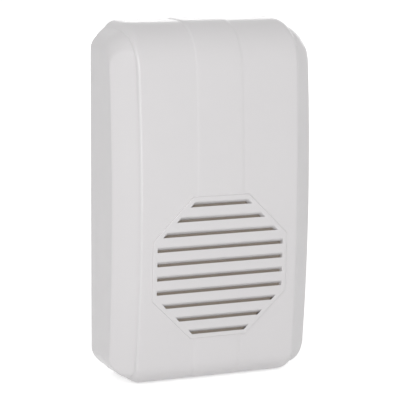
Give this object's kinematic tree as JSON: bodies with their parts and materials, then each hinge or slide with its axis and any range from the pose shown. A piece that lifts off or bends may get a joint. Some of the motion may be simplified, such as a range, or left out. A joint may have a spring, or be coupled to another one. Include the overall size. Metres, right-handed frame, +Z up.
{
  "type": "doorbell chime box",
  "caption": "Wall-mounted wireless doorbell chime box with a slotted octagonal speaker grille, a volume slider, a tune button and a battery door at the back.",
  "frame": {"origin": "middle of the bounding box's lower face, below the middle of the box", "axes": "+Z up the wall, -Y out from the wall towards the room (the grille's side), +X to the right as seen from the front"},
  "size_m": [0.089, 0.035, 0.15],
  "materials": {
    "cover": "satin moulded",
    "cloth": "fine woven",
    "plate": "fine grained",
    "door": "fine grained",
    "zinc_screws": "zinc plated",
    "cell_sleeve": "printed sleeve, plain",
    "contact_steel": "nickel plated",
    "spring_steel": "nickel plated wire",
    "basket": "black painted",
    "gasket": "foam",
    "pole_steel": "zinc plated",
    "ferrite": "sintered",
    "coil": "enamelled copper",
    "spider": "impregnated cloth",
    "cone": "pressed pulp",
    "cap": "impregnated cloth",
    "surround": "soft",
    "laminate": "paper laminate",
    "tinned": "tinned",
    "clamp_steel": "zinc plated",
    "circuit_board": "green solder mask",
    "radio_board": "blue solder mask",
    "chip": "moulded",
    "can": "drawn can",
    "capacitor": "sleeved",
    "small_parts": "fired",
    "pins": "gold flashed",
    "wire": "enamelled copper",
    "switch": "moulded",
    "lever": "moulded",
    "slider": "satin moulded",
    "button": "satin moulded",
    "lead": "soft insulation"
  },
  "bodies": {
    "box": {"front_cover": "cover", "grille_cloth": "cloth", "back_plate": "plate", "case_screws": "zinc_screws", "battery_cells": "cell_sleeve", "lead_contacts": "contact_steel", "link_contacts": "contact_steel", "contact_springs": "spring_steel", "speaker_frame": "basket", "speaker_gasket": "gasket", "speaker_top_plate": "pole_steel", "speaker_magnet": "ferrite", "speaker_yoke": "pole_steel", "speaker_spider": "spider", "speaker_surround": "surround", "terminal_board": "laminate", "terminal_tags": "tinned", "clamp_strips": "clamp_steel", "clamp_screws": "zinc_screws", "main_board": "circuit_board", "board_screws": "zinc_screws", "sound_chip": "chip", "amplifier_chip": "chip", "crystal": "can", "capacitors": "capacitor", "small_parts": "small_parts", "radio_board": "radio_board", "radio_pins": "pins", "radio_chip": "chip", "tuning_coil": "can", "aerial_coil": "wire", "volume_switch_body": "switch", "tune_switch_body": "switch", "battery_leads": "lead", "speaker_leads": "lead"},
    "door": {"battery_door": "door"},
    "volume": {"volume_slider": "slider", "volume_lever": "lever"},
    "tune": {"tune_button": "button", "tune_plunger": "lever"},
    "diaphragm": {"speaker_cone": "cone", "dust_cap": "cap", "voice_coil": "coil"}
  },
  "joints": [
    {"name": "battery_door_hinge", "type": "hinge", "parent": "box", "child": "door", "pos_m": [0, 0.0159, 0.1406], "axis": [1, 0, 0], "range_deg": [0, 90]},
    {"name": "volume_slide", "type": "slide", "parent": "box", "child": "volume", "axis": [0, 0, 1], "range_m": [-0.002, 0.002]},
    {"name": "tune_press", "type": "slide", "parent": "box", "child": "tune", "axis": [-1, 0, 0], "range_m": [0, 0.001], "stiffness_N_per_m": 1500},
    {"name": "diaphragm_travel", "type": "slide", "parent": "box", "child": "diaphragm", "axis": [0, -1, 0], "range_m": [-0.0004, 0.0004], "stiffness_N_per_m": 1000, "deforming": ["speaker_surround", "speaker_spider"]}
  ]
}
